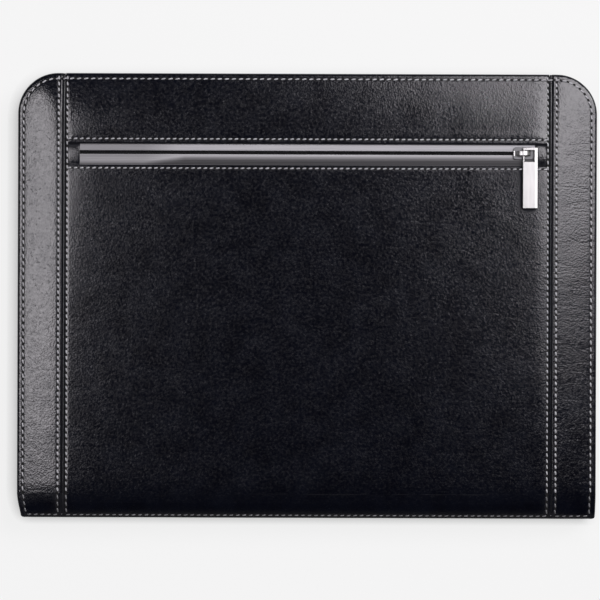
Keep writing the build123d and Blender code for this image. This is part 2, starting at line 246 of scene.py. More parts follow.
def closed_grid(rows, under, flip=False):
    """The shape of a closed slab: rows of top points, and either as many rows of points below them or
    under(point), the point below each. flip turns the faces over."""
    count = len(rows[0])
    top = [p for row in rows for p in row]
    low = [under(p) for p in top] if callable(under) else [p for row in under for p in row]
    offset = len(top)
    last = offset - count
    faces = []
    for r in range(len(rows) - 1):
        for a in range(r * count, (r + 1) * count - 1):
            b, d, e = a + 1, a + count, a + count + 1
            faces.append((a, b, e, d))
            faces.append((a + offset, d + offset, e + offset, b + offset))
    ring = [*range(count), *range(2 * count - 1, offset, count)]
    ring += [*range(offset - 2, last - 1, -1), *range(last - count, 0, -count)]
    faces += [(b, a, a + offset, b + offset) for a, b in zip(ring, ring[1:] + ring[:1])]
    return flipped(top + low, faces) if flip else (top + low, faces)


def closed_rings(rings, loop=False):
    """The shape of a solid with these rings of points round it. Its two ends are closed, or joined to each
    other where it is a loop."""
    count, last = len(rings[0]), len(rings) - 1
    faces = []
    for r in range(last + 1 if loop else last):
        step = count if r < last else -last * count
        for k in range(count):
            a, b = r * count + k, r * count + (k + 1) % count
            faces.append((a, b, b + step, a + step))
    if not loop:
        faces.append(tuple(range(count))[::-1])
        faces.append(tuple(range(last * count, (last + 1) * count)))
    return [p for ring in rings for p in ring], faces


def strand(centre, reach, wide, tall, rings, sides, power, least, bow=Vector()):
    """The shape of a short strand with rounded ends. reach, wide and tall are vectors to its end, side and
    top, and bow is how its ends dip."""
    circle = arc(sides, 2 * math.pi)[:-1]
    rows = []
    for i in range(rings):
        s = (i + 0.5) / rings * 2 - 1
        thick = math.sqrt(max(least, 1 - abs(s) ** power))
        middle = centre + reach * s - bow * s * s
        rows.append([middle + (wide * cos + tall * sin) * thick for cos, sin in circle])
    return closed_rings(rows)


def flipped(verts, faces):
    """The same shape with its faces turned over."""
    return verts, [face[::-1] for face in faces]


def merge(parts):
    """Several shapes as one."""
    verts, faces = [], []
    for some_verts, some_faces in parts:
        shift = len(verts)
        verts.extend(some_verts)
        faces.extend(tuple(i + shift for i in face) for face in some_faces)
    return verts, faces


# Materials

class Look:
    """A principled material with values on its sockets, and the nodes that its surface is made from."""

    def __init__(self, name, **values):
        self.material = bpy.data.materials.new(name)
        self.material.use_nodes = True
        self.tree = self.material.node_tree
        self.shader = self.tree.nodes["Principled BSDF"]
        self.surface(**values)

    def feed(self, socket, value):
        """Sets a socket to a plain value, or links a node's output to it."""
        if isinstance(value, bpy.types.NodeSocket):
            self.tree.links.new(value, socket)
        else:
            socket.default_value = value

    def surface(self, **values):
        """Feeds the shader's sockets."""
        for name, value in values.items():
            self.feed(self.shader.inputs[name.replace("_", " ")], value)

    def node(self, kind, **values):
        """A new node with its sockets fed."""
        node = self.tree.nodes.new(f"ShaderNode{kind}")
        for name, value in values.items():
            self.feed(node.inputs[name.replace("_", " ")], value)
        return node

    def maths(self, operation, *values):
        """A number worked out from others."""
        node = self.node("Math")
        node.operation = operation
        for socket, value in zip(node.inputs, values):
            self.feed(socket, value)
        return node.outputs["Value"]

    def own_place(self):
        """A place on the piece in the object's own metres, as outputs X, Y and Z."""
        return self.node("SeparateXYZ", Vector=self.node("TexCoord").outputs["Object"]).outputs

    def texture(self, kind, scale, stretch=(1, 1, 1), turn=0.0, bands="X", **values):
        """A procedural texture in the object's own metres."""
        place = self.node("TexCoord").outputs["Object"]
        mapping = self.node("Mapping", Vector=place, Scale=stretch, Rotation=(0, 0, turn))
        node = self.node(f"Tex{kind}", Vector=mapping.outputs["Vector"], Scale=scale, **values)
        if kind == "Wave":
            node.bands_direction = bands
        return node.outputs["Distance" if kind == "Voronoi" else "Fac"]

    def ramp(self, source, low, high, start=0.35, end=0.65):
        """Turns a number between start and end into one between low and high."""
        node = self.node("MapRange", Value=source, From_Min=start, From_Max=end, To_Min=low, To_Max=high)
        return node.outputs["Result"]

    def tint(self, share, first, second, blend="MIX"):
        """Mixes two colours, each a plain one or a node's output, by a share."""
        node = self.node("Mix")
        node.data_type = "RGBA"
        node.blend_type = blend
        for index, value in ((0, share), (6, first), (7, second)):
            self.feed(node.inputs[index], value)
        return node.outputs[2]

    def two_tone(self, source, dark, light, start=0.35, end=0.65):
        """Mixes two colours by a texture's number."""
        return self.tint(self.ramp(source, 0, 1, start, end), (*dark, 1), (*light, 1))

    def bump(self, *layers):
        """Chains bumps on the surface: each layer is (texture, depth in millimetres, strength)."""
        last = {}
        for height, depth, strength in layers:
            node = self.node("Bump", Height=height, Distance=depth * MM, Strength=strength, **last)
            last = {"Normal": node.outputs["Normal"]}
        self.surface(**last)

    def open_share(self, reach, towards):
        """How open a place is towards a direction: 1 in the open, less where something stands within reach,
        in millimetres."""
        normal = self.node("CombineXYZ", **dict(zip("XYZ", towards))).outputs["Vector"]
        return self.node("AmbientOcclusion", Distance=reach * MM, Normal=normal).outputs["AO"]


def leather_look(name, dark, light, rough_low, rough_high):
    """Smooth finished leather: fine pores, soft creases, patchy polish and colour. It is dull where
    something stands close over it towards the light."""
    look = Look(name, Specular_IOR_Level=0.5)
    patches = look.texture("Noise", 60, Detail=7.0, Roughness=0.66)
    specks = look.texture("Noise", 640, Detail=3.0, Roughness=0.6)
    pores = look.texture("Voronoi", 1000)
    creases = look.texture("Noise", 150, (0.3, 1, 1), Detail=2.0, Roughness=0.5)
    wrinkles = look.texture("Noise", 55, (0.22, 1, 1), Detail=3.0, Roughness=0.55)
    lines = look.ramp(look.maths("ABSOLUTE", look.maths("SUBTRACT", wrinkles, 0.5)), 0, 1, 0.0, 0.03)
    polish = look.maths("MULTIPLY_ADD", patches, 0.22, look.maths("MULTIPLY", specks, 0.78))
    covered = look.ramp(look.open_share(6, (0.46, 0.53, 0.71)), 1, 0, 0.64, 0.8)
    rough = look.maths("MAXIMUM", look.ramp(polish, rough_low, rough_high, 0.36, 0.64), covered)
    look.surface(Base_Color=look.two_tone(patches, dark, light), Roughness=rough)
    look.bump((creases, 0.11, 0.5), (lines, 0.05, 0.4), (pores, 0.09, 0.6))
    return look.material


def woven_look(name, dark, light, thread):
    """Plain weave: two crossing sets of threads, of the given width in millimetres."""
    look = Look(name, Roughness=0.75, Sheen_Weight=0.15)
    scale = 1 / (3.1416 * thread * MM)
    waves = [look.texture("Wave", scale, bands=way, Distortion=0.6, Detail_Scale=2.0) for way in "XY"]
    cloudy = look.texture("Noise", 160, Detail=4.0)
    look.surface(Base_Color=look.two_tone(cloudy, dark, light))
    look.bump((look.maths("MULTIPLY", *waves), 0.18, 0.7), (cloudy, 0.1, 0.3))
    return look.material


# The pocket tapes' left end, whose colour is dimmed as painted shade, as distances from the window's end
PAINTED_SHADE_FROM = 38
PAINTED_SHADE_TO = 58
# The lower tape is dark away from its pale edge as painted shade; towards the left end its pale part widens
# over the whole tape
PALE_TO = 62
PALE_RISE = 3.4
# Colour of the lower tape's painted shade
SHADED_TAPE = (0.033, 0.032, 0.035, 1)


def tape_look(name, dark, light, edge_y=None):
    """Ribbed zip tape with a fine weave, and painted shade that dims its left end. Given edge_y in
    millimetres, the tape is pale only near that edge and dark away from it as painted shade, but pale all
    over at its left end."""
    look = Look(name, Roughness=0.5, Sheen_Weight=0.1)
    streaks = look.texture("Noise", 900, (0.02, 1, 1), Detail=3.0)
    ribs = look.texture("Wave", 330, bands="Y")
    weave = look.texture("Wave", 700)
    place = look.own_place()
    start, painted_shade_end, pale_end = ((away - WINDOW_X) * MM for away in (PAINTED_SHADE_FROM, PAINTED_SHADE_TO, PALE_TO))
    # painted shade: the tape's colour is dimmed towards its left end
    shade = look.ramp(place["X"], 0.62, 1, start, painted_shade_end)
    colour = look.tint(1, look.two_tone(streaks, dark, light, 0.3, 0.7), shade, "MULTIPLY")
    # painted shade on the lower tape: dark away from edge_y, pale all over near the left end
    if edge_y is not None:
        rise = look.ramp(place["X"], PALE_RISE * MM, 0, start, pale_end)
        lifted = look.maths("ADD", place["Y"], rise)
        near = look.ramp(lifted, 0, 1, (edge_y - 4.5) * MM, (edge_y - 0.9) * MM)
        colour = look.tint(look.maths("POWER", near, 2.2), SHADED_TAPE, colour)
    look.surface(Base_Color=colour)
    look.bump((ribs, 0.1, 0.6), (weave, 0.05, 0.4))
    return look.material


def thread_look(name, dark, light):
    """Waxed sewing thread with its twist."""
    look = Look(name, Roughness=0.3, Specular_IOR_Level=1.0)
    look.surface(Base_Color=look.two_tone(look.texture("Noise", 260, Detail=3.0), dark, light))
    look.bump((look.texture("Wave", 900, turn=0.7), 0.12, 0.6))
    return look.material


def metal_look(name, colour, rough_low, rough_high):
    """Bright plated metal with faint wear and fine handling marks."""
    look = Look(name, Metallic=1.0)
    cloudy = look.texture("Noise", 420, (1, 0.12, 1), Detail=4.0)
    worn = look.two_tone(cloudy, [c * 0.82 for c in colour], colour)
    look.surface(Base_Color=worn, Roughness=look.ramp(cloudy, rough_low, rough_high))
    look.bump((look.texture("Noise", 900, (1, 0.05, 1), Detail=3.0), 0.02, 0.35))
    return look.material


def slider_look(name, bright, body, level):
    """A slider whose crown, above level in millimetres, is plated and whose body is dark."""
    look = Look(name, Metallic=1.0)
    height = look.own_place()["Z"]
    step = (level * MM, (level + 0.1) * MM)
    look.surface(Base_Color=look.two_tone(height, body, bright, *step))
    look.surface(Roughness=look.ramp(height, 0.5, 0.36, *step))
    look.bump((look.texture("Noise", 700, Detail=4.0), 0.03, 0.4))
    return look.material


def plain_look(name, dark, light, rough, scale=300, depth=0.05):
    """A matt surface with slight mottling, depth millimetres deep."""
    look = Look(name, Roughness=rough)
    cloudy = look.texture("Noise", scale, Detail=5.0)
    look.surface(Base_Color=look.two_tone(cloudy, dark, light))
    look.bump((cloudy, depth, 0.5))
    return look.material


def ruled_look(name, paper, rule, spacing, width):
    """Ruled paper: thin lines across the page, spacing and width in millimetres."""
    look = Look(name, Roughness=0.85)
    fibres = look.texture("Noise", 700, Detail=4.0)
    sheet = look.two_tone(fibres, [c * 0.95 for c in paper], paper)
    away = look.maths("PINGPONG", look.own_place()["X"], spacing * MM / 2)
    line = look.ramp(away, 1, 0, width * MM / 2, width * MM)
    look.surface(Base_Color=look.tint(line, sheet, (*rule, 1)))
    look.bump((fibres, 0.03, 0.5))
    return look.material


LEATHER_BLACK = leather_look("leather black", (0.0004, 0.0006, 0.003), (0.0015, 0.0022, 0.006), 0.12, 0.28)
POCKET_LEATHER = leather_look("leather inside", (0.010, 0.010, 0.012), (0.02, 0.02, 0.023), 0.42, 0.55)
THREAD = thread_look("pale thread", (0.36, 0.36, 0.375), (0.54, 0.54, 0.56))
# The pale thread made darker: painted shade for the stitches in the spine's fold
SHADED_THREAD = thread_look("thread in painted shade", (0.13, 0.13, 0.135), (0.21, 0.21, 0.22))
HOLE = plain_look("needle hole", (0.002, 0.002, 0.002), (0.004, 0.004, 0.004), 0.9)
TAPE_UPPER = tape_look("zip tape upper", (0.345, 0.34, 0.36), (0.435, 0.43, 0.45))
# The lower tape is lighter than the upper one: partly the tape's grey, partly a painted highlight on its
# raised edge
TAPE_LOWER = tape_look("zip tape lower", (0.40, 0.395, 0.41), (0.48, 0.475, 0.49), TAPE_DOWN_HIGH[1])
TAPE_BLACK = woven_look("zip tape black", (0.008, 0.008, 0.009), (0.018, 0.018, 0.02), 0.5)
LINING = woven_look("lining cloth", (0.014, 0.014, 0.016), (0.03, 0.03, 0.033), 0.4)
COIL = plain_look("nylon coil", (0.010, 0.010, 0.011), (0.022, 0.022, 0.024), 0.38)
METAL = metal_look("bright nickel", (0.52, 0.515, 0.51), 0.36, 0.46)
SLIDER = slider_look("slider", (0.55, 0.545, 0.54), (0.14, 0.14, 0.145), TOP - 0.1)
BOARD = plain_look("greyboard", (0.33, 0.31, 0.28), (0.44, 0.42, 0.38), 0.9, 700, 0.1)
BINDING = plain_look("pad binding", (0.05, 0.05, 0.055), (0.09, 0.09, 0.095), 0.6, 500)
PAPER = plain_look("paper", (0.72, 0.71, 0.68), (0.80, 0.79, 0.76), 0.85, 400, 0.03)
FOAM = plain_look("padding", (0.35, 0.35, 0.35), (0.5, 0.5, 0.5), 0.95, 900, 0.2)
RULED = ruled_look("ruled paper", (0.80, 0.79, 0.76), (0.42, 0.52, 0.66), 8.7, 0.3)


# The front cover's surface

def rim_distance(x, y):
    """Distance from a point to the cover's outline on its three free sides."""
    dx, dy = HALF - abs(x), FORE - y
    if dx < CORNER and dy < CORNER:
        return CORNER - math.hypot(CORNER - dx, CORNER - dy)
    return min(dx, dy)


def outline_x(y, inset=0.0):
    """Half the cover's width at y, drawn in by inset."""
    radius = CORNER - inset
    over = max(0.0, y - (FORE - CORNER))
    return HALF - CORNER + math.sqrt(max(0.0, radius ** 2 - over ** 2))


def plain_crown(x, y):
    """Height of the padded cover before its edges roll over: sloping sides, nearly flat middle."""
    side = (HALF - abs(x)) / BAND
    side += 2 * max(0.0, side - 1)
    fore = (FORE - y) / FORE_SLOPE
    fore = 1 - (1 - fore) ** 2 if fore < 1 else 1 + 2 * (fore - 1)
    near = rim_distance(x, y) / CORNER_SLOPE
    share = sum(max(t, 1e-3) ** -CORNER_BLEND for t in (side, fore, near)) ** (-1 / CORNER_BLEND)
    share = clamp(share)
    return mix(EDGE_TOP, TOP, share + BELLY * share * (1 - share))


def crown(x, y):
    """Height of the cover, which starts to roll over towards the spine before its end."""
    out = clamp((SPINE + ROLL_REACH - y) / ROLL_REACH)
    return FOLD_TOP + (plain_crown(x, y) - FOLD_TOP) * (1 - out ** ROLL_POWER) ** (1 / ROLL_POWER)


def roll(distance, radius):
    """How far a rounded edge has dropped at this distance from it."""
    across = clamp(radius - distance, 0, radius)
    return radius - math.sqrt(radius ** 2 - across ** 2)


def groove(distance):
    """Depth of the channel that a row of stitches pulls into the leather."""
    return GROOVE_DEPTH * bell(distance, GROOVE_WIDTH)


def seam_grooves(x):
    """Stitch channels along the two long seams, at x."""
    away = abs(x) - SEAM
    return groove(away - SEAM_ROW_BAND) + groove(away + SEAM_ROW_PANEL)


def waviness(x, y):
    """Slight unevenness of soft leather over padding."""
    return 0.10 * ripple(x, y, 38, 1.3) + 0.05 * ripple(x, y, 15, 4.1) + 0.02 * ripple(x, y * 2.2, 7, 7.7)


def lean(x, y):
    """How far the middle panels and the left band sink towards the long seams. The top strip only does so
    on the right."""
    if x >= SEAM or (-SEAM < x < 0 and y > WINDOW_TOP):
        return 0.0
    depth, width, power = LEAN_DEPTH, LEAN_WIDTH, LEAN_POWER
    if x <= -SEAM:
        head = clamp((y - FORE + BAND_HEAD) / BAND_HEAD)
        depth = BAND_LEAN_DEPTH * (1 + 1.8 * head ** 2)
        width = BAND_LEAN_WIDTH * (1 + 0.6 * head)
    elif x < 0:
        depth = LEFT_LEAN_DEPTH * mix(0.5, 1.0, clamp(y / WINDOW_LOW))
        width, power = LEFT_LEAN_WIDTH, LEFT_LEAN_POWER
    away = clamp(abs(SEAM - abs(x)) / width)
    return depth * (1 - away) ** power * clamp((y - START) / LEAN_START)


def front_height(x, y):
    """Height of the finished front leather, without the rolled edges of single panels."""
    distance = rim_distance(x, y)
    depth = groove(distance - EDGE_ROW) + roll(distance, RIM_ROLL)
    if y > START:
        depth += seam_grooves(x)
    if abs(x) < SEAM:
        depth += groove(y - WINDOW_TOP - WINDOW_ROW_UP) + groove(WINDOW_LOW - WINDOW_ROW_DOWN - y)
    calm = clamp((distance - 1) / 6)
    return crown(x, y) - depth - lean(x, y) + waviness(x, y) * calm


def under_front(point):
    """Underside of the front leather: the rim's foot at the edge, the leather's thickness inside."""
    x, y, _ = point
    if rim_distance(x, y) < LEATHER:
        return (x, y, RIM_LOW + 0.05)
    return (x, y, crown(x, y) - LEATHER)


def seam_drop(x):
    """How far a panel's edge along a long seam is rolled down."""
    return SEAM_DROP * roll(abs(abs(x) - SEAM) - SEAM_EDGE, SEAM_ROLL)


def fitted(x, y):
    """Draws a place on a band in from the cover's straight sides to its outline at y."""
    start = SEAM + SEAM_EDGE
    if abs(x) < start:
        return x
    return math.copysign(mix(start, outline_x(y), (abs(x) - start) / (HALF - start)), x)


def front_panel(name, node, xs, ys, window_drop=lambda x, y: 0.0):
    """A leather panel of the front cover. window_drop(x, y) lowers its edge beside the window."""
    rows = []
    for y in ys:
        fit = [fitted(x, y) for x in xs]
        rows.append([(x, y, front_height(x, y) - seam_drop(x) - window_drop(x, y)) for x in fit])
    shape = closed_grid(rows, under_front)
    add_piece(name, shape, LEATHER_BLACK, "front_cover", "leather_black", node)


def make_front_panels():
    """The six leather panels of the front cover."""
    inner, outer = SEAM - SEAM_EDGE, SEAM + SEAM_EDGE

    def mirrored(xs):
        return [-x for x in xs[::-1]]

    def tab_drop(x, y):
        across = (2 * y - WINDOW_TOP - WINDOW_LOW) / (WINDOW_TOP - WINDOW_LOW)
        return 0.2 + 0.75 * across ** 2 + roll(abs(x) - WINDOW_X, 0.7)

    xs = dense(outer, HALF, 1.6, SEWN_STEPS)
    ys = dense(START, FORE, 1.8, SEWN_STEPS, at_start=False)
    front_panel("front_band_left", "front_left_band", mirrored(xs), ys)
    front_panel("front_band_right", "front_right_band", xs, ys)
    xs = dense(-inner, inner, 2.0, SEWN_STEPS)
    ys = dense(START, WINDOW_LOW, 2.0, SEWN_STEPS, at_start=False)
    front_panel("front_centre", "front_centre_panel", xs, ys,
                lambda x, y: roll(WINDOW_LOW - y, WINDOW_ROLL))
    ys = dense(WINDOW_TOP, FORE, 1.6, SEWN_STEPS)
    front_panel("front_strip", "front_top_strip", xs, ys,
                lambda x, y: roll(y - WINDOW_TOP, WINDOW_ROLL))
    xs = dense(WINDOW_X, inner, 1.0)
    ys = dense(WINDOW_LOW, WINDOW_TOP, 1.2, fine=(0.0, 0.2))
    front_panel("window_tab_right", "pocket_end_tab_right", xs, ys, tab_drop)
    front_panel("window_tab_left", "pocket_end_tab_left", mirrored(xs), ys, tab_drop)


# Stitches

def stitch(centre, along, up, length, width, lift):
    """One stitch: a short flattened strand that rises out of the leather and dips in again."""
    across = up.cross(along).normalized()
    return strand(centre + up * lift, along * (length / 2), across * (width / 2), up * (width * 0.36),
                  rings=5, sides=6, power=2.6, least=0.05, bow=up * STITCH_BOW)


def needle_hole(centre, along, up, size):
    """The needle hole between two stitches: a low dark dimple."""
    across = up.cross(along).normalized()
    centre = centre + up * 0.05
    circle = arc(8, 2 * math.pi)[:-1]
    ring = [centre + (along * (cos * 0.62) + across * (sin * 0.5)) * size for cos, sin in circle]
    faces = [(0, 1 + k, 1 + (k + 1) % 8) for k in range(8)]
    return [centre + up * 0.04, *ring], [*faces, tuple(range(8, 0, -1))]


class Sewing:
    """Collects the stitches and needle holes of one moving piece."""

    def __init__(self):
        self.threads = []
        self.holes = []

    def row(self, path, place, pitch=SEAM_PITCH, width=STITCH_WIDTH, lift=0.12, hole=HOLE_SIZE):
        """Sews along a path of (u, v) points. place(u, v) gives the point and the way up there."""
        total = path_length(path)
        count = max(1, round(total / pitch))
        step = total / count

        def at(distance):
            return place(*path_place(path, distance)[0])

        for i in range(count):
            distance = (i + 0.5) * step
            middle, up = at(distance)
            along = (at(distance + 0.6)[0] - at(distance - 0.6)[0]).normalized()
            slant = STITCH_SLANT + 0.05 * math.sin(i * 12.9898)
            along = (along + up.cross(along) * slant).normalized()
            self.threads.append(stitch(middle, along, up, STITCH_SHARE * step, width, lift))
            pierced, hole_up = at(i * step)
            self.holes.append(needle_hole(pierced, along, hole_up, hole))

    def finish(self, name, body, thread=THREAD):
        """Makes the thread and hole meshes, which move with their body, or stay where they are made when
        given two bodies.
        """
        for suffix, parts, material in (("stitches", self.threads, thread), ("holes", self.holes, HOLE)):
            add_piece(f"{name}_{suffix}", merge(parts), material, body, "leather_black")


def on_front(x, y):
    """Point on the front leather and the way up there."""
    h = 0.4
    slope_x = (crown(x + h, y) - crown(x - h, y)) / (2 * h)
    slope_y = (crown(x, y + h) - crown(x, y - h)) / (2 * h)
    return Vector((x, y, front_height(x, y))), Vector((-slope_x, -slope_y, 1)).normalized()


def rim_path(inset, start_y):
    """Path round the cover's three free sides, inset from its edge, from the left to the right foot."""
    radius = CORNER - inset
    right = [(HALF - CORNER + radius * cos, FORE - CORNER + radius * sin) for cos, sin in arc(24)]
    right.insert(0, (HALF - inset, start_y))
    return [(-x, y) for x, y in right] + right[::-1]


def sew_front():
    """All the rows on the front cover."""
    sewing = Sewing()
    sewing.row(rim_path(EDGE_ROW, START + ROW_START), on_front, RIM_PITCH)
    for side in (-1, 1):
        for away, width in ((SEAM_ROW_BAND, BAND_STITCH_WIDTH), (-SEAM_ROW_PANEL, STITCH_WIDTH)):
            x = side * (SEAM + away)
            sewing.row([(x, START + ROW_START), (x, FORE - ROW_END)], on_front, width=width)
    reach = SEAM - SEAM_EDGE - 0.6
    for y in (WINDOW_TOP + WINDOW_ROW_UP, WINDOW_LOW - WINDOW_ROW_DOWN):
        sewing.row([(-reach, y), (reach, y)], on_front, WINDOW_PITCH)
    sewing.finish("front", "front_cover")


def make_welts():
    """The narrow folded edge that shows between the two rows of each long seam."""
    for side, name in ((-1, "left"), (1, "right")):
        rows = []
        for y in dense(START, FORE - 0.3, 2.0, at_start=False):
            row = []
            for f in (-1.0, -0.8, -0.4, 0.0, 0.4, 0.8, 1.0):
                x = side * SEAM + f * WELT_WIDTH / 2
                fall = WELT_DROP + 0.55 * abs(f) ** 3 + roll(rim_distance(x, y), 0.9)
                row.append((x, y, crown(x, y) - fall))
            rows.append(row)
        shape = closed_grid(rows, lambda p: (p[0], p[1], crown(p[0], p[1]) - LEATHER - 0.1))
        add_piece(f"seam_welt_{name}", shape, LEATHER_BLACK, "front_cover", "leather_black")


# Spine

def fold_table(upper):
    """Points down a fold's section from the cover's end to the spine: distance, y and share of height."""
    reach, power = (ROLL_REACH, ROLL_POWER) if upper else (FOLD_REACH, 2.0)
    steps = 60
    top_y = SPINE + reach
    first = clamp((top_y - START) / reach)
    points = [(START, clamp(1 - first ** power) ** (1 / power))]
    for i in range(1, steps + 1):
        turn = mix(math.asin(first ** (power / 2)), math.pi / 2, i / steps)
        out, up = (max(0.0, part) ** (2 / power) for part in (math.sin(turn), math.cos(turn)))
        points.append((top_y - reach * out, up))
    table = [(0.0, *points[0])]
    for (y0, s0), (y1, s1) in zip(points, points[1:]):
        table.append((table[-1][0] + math.hypot(y1 - y0, FOLD_HEIGHT * (s1 - s0)), y1, s1))
    return table


FOLD_TABLES = {True: fold_table(True), False: fold_table(False)}


def fold_length(upper, y=SPINE):
    """Distance down a fold's section to where it reaches y, or to its end at the spine."""
    table = FOLD_TABLES[upper]
    return next((distance for distance, row_y, _ in table if row_y <= y), table[-1][0])


def drawn_in(x, distance, upper):
    """Moves a point of the fold's plain strip in line with its ends, which draw in from the cover to the
    spine on the left and hardly on the right."""
    fixed = SEAM + 8
    if abs(x) <= fixed:
        return x
    share = clamp(distance / (0.8 * fold_length(upper)))
    end = mix(HALF, SPINE_HALF if x < 0 else HALF - 0.2, share * share * (3 - 2 * share))
    return math.copysign(mix(fixed, end, (abs(x) - fixed) / (SPINE_HALF - fixed)), x)


def fold_point(x, distance, upper):
    """Point on a fold's plain curve, and on down the spine's wall."""
    table = FOLD_TABLES[upper]
    length = table[-1][0]
    x = drawn_in(x, min(distance, length), upper)
    tall = plain_crown(x, START) - FOLD_TOP if upper else FOLD_HEIGHT
    base, outward = (FOLD_TOP, 1) if upper else (FOLD_HEIGHT, -1)
    if distance >= length:
        return Vector((x, SPINE, base - outward * (distance - length)))
    for (d0, y0, s0), (d1, y1, s1) in zip(table, table[1:]):
        if distance <= d1:
            share = (distance - d0) / (d1 - d0)
            return Vector((x, mix(y0, y1, share), base + outward * tall * mix(s0, s1, share)))


def fold_place(x, distance, upper):
    """Point on a fold's finished leather, and the way out there."""
    step = fold_point(x, distance + 0.15, upper) - fold_point(x, max(0.0, distance - 0.15), upper)
    out = Vector((0, step.z, -step.y)).normalized() * (1 if upper else -1)
    return fold_point(x, distance, upper) - out * fold_depth(x, distance, upper), out


def fold_depth(x, distance, upper):
    """How far the leather of a fold lies below its plain curve."""
    edge = SPINE_HALF - abs(x)
    depth = roll(edge, 1.2) + groove(edge - EDGE_ROW)
    if upper and distance >= fold_length(upper, SPINE + SPINE_EDGE):
        depth += SPINE_STEP
    else:
        depth += groove(distance - fold_length(upper, SPINE + SPINE_ROW))
        if upper:
            away = abs(abs(x) - SEAM)
            rolled = 0.85 * roll(max(0.0, away - SEAM_EDGE), SEAM_ROLL)
            depth += seam_grooves(x) + (rolled if away > WELT_WIDTH / 2 else WELT_DROP)
    return depth - 0.5 * waviness(x, START - distance) * clamp(distance / 4)


def bend_of(upper):
    """The two bodies that a fold joins, and where its bend starts and ends."""
    cover, wall_z, cover_z = ("front_cover", FOLD_TOP, TOP) if upper else ("back_cover", FOLD_HEIGHT, 0)
    return "spine", cover, (0, SPINE * MM, wall_z * MM), (0, START * MM, cover_z * MM)


def make_spine():
    """The spine's leather in two halves, each from a cover's edge round its fold to mid height."""
    middle = Vector((0, FOLD_Y + 1.0, MID_Z))

    def under(point):
        return point + Vector((0, middle.y - point.y, middle.z - point.z)).normalized() * LEATHER

    for upper, name, nodes in ((True, "spine_leather_front", ("front_fold_leather", "spine_leather")),
                               (False, "spine_leather_back", ("back_fold_leather",))):
        xs = set(dense(-SPINE_HALF, SPINE_HALF, 3.0))
        if upper:
            xs.update(side * SEAM + way * f for side in (-1, 1) for way in (-1, 1) for f in SEAM_STEPS)
        end = fold_length(upper) + (FOLD_TOP - MID_Z if upper else MID_Z - FOLD_HEIGHT)
        edge = fold_length(upper, SPINE + SPINE_EDGE)
        stations = sorted([end * i / 44 for i in range(45)] + [edge - 0.05, edge + 0.1])
        xs = sorted(xs, reverse=not upper)
        rows = [[fold_place(x, distance, upper)[0] for x in xs] for distance in stations]
        shape = closed_grid(rows, under, flip=True)
        add_piece(name, shape, LEATHER_BLACK, bend_of(upper), "leather_black", *nodes)


def on_fold(upper):
    """fold_place for one of the folds."""
    return lambda x, distance: fold_place(x, distance, upper)


def sew_spine():
    """Stitches on the upper fold: the ends of the long rows, and the row along the spine, in a darker
    thread that is painted shade for the fold.
    """
    sewing = Sewing()
    reach = fold_length(True, SPINE + SPINE_ROW)
    end = SPINE_HALF - EDGE_ROW
    for side in (-1, 1):
        for x in (SEAM + SEAM_ROW_BAND, SEAM - SEAM_ROW_PANEL, end):
            sewing.row([(side * x, 0.3), (side * x, reach - ROW_END)], on_fold(True))
    sewing.row([(-end, reach), (end, reach)], on_fold(True), FOLD_PITCH)
    # darker thread: painted shade for the fold
    sewing.finish("spine", bend_of(True), SHADED_THREAD)


# Back cover's leather

def back_height(x, y):
    """How far the back leather's face is above the table: a rolled edge and a sunk stitch channel."""
    distance = rim_distance(x, y)
    lift = 0.03 * (1 + ripple(x, y, 30, 9.2)) * clamp(distance / 6)
    return 1.1 * roll(distance, 1.4) + BACK_GROOVE * bell(distance - EDGE_ROW, 0.8) + lift


def on_back(x, y):
    """Point on the back leather and the way out there."""
    return Vector((x, y, back_height(x, y))), Vector((0, 0, -1))


def cover_rows(ys, step, inset, height):
    """Rows of points over a cover's whole outline, drawn in by inset, at height(x, y)."""
    half = HALF - inset
    shares = [x / half for x in dense(-half, half, step)]
    rows = []
    for y in ys:
        edge = outline_x(y, inset)
        rows.append([(share * edge, y, height(share * edge, y)) for share in shares])
    return rows


def make_back():
    """The back cover's leather, turned up round its board, and the stitches on it and on the low fold."""
    def under(point):
        x, y, _ = point
        return (x, y, BACK_HIGH[2] if rim_distance(x, y) < LEATHER else LEATHER)

    rows = cover_rows(dense(START, FORE, 3.0, at_start=False), 3.0, 0, back_height)
    shape = closed_grid(rows, under, flip=True)
    add_piece("back_cover_leather", shape, LEATHER_BLACK, "back_cover", "leather_black", "back_leather")
    rim = Sewing()
    rim.row(rim_path(EDGE_ROW, START + ROW_START), on_back, RIM_PITCH, width=0.8, lift=-0.05)
    rim.finish("back", "back_cover")
    fold = Sewing()
    reach = fold_length(False, SPINE + SPINE_ROW)
    end = SPINE_HALF - EDGE_ROW
    fold.row([(-end, reach), (end, reach)], on_fold(False), lift=0.05)
    for x in (-end, end):
        fold.row([(x, 1.0), (x, reach - ROW_END)], on_fold(False), lift=-0.05)
    fold.finish("back_spine", bend_of(False))


# Lining cloth

def make_lining(node, body, face_up):
    """A cover's lining: woven cloth glued to its board, with slight puckers."""
    low, high = node_box(node)
    inset = HALF - high[0]
    face, hidden, outward = (high[2], low[2], 1) if face_up else (low[2], high[2], -1)

    def height(x, y):
        return face - outward * (0.04 + 0.04 * ripple(x, y, 22, 3.0))

    rows = cover_rows(dense(low[1], high[1], 4.0), 4.0, inset, height)
    shape = closed_grid(rows, lambda p: (p[0], p[1], hidden), flip=not face_up)
    piece = add_piece(f"{node}_cloth", shape, LINING, body, "lining_cloth", node)


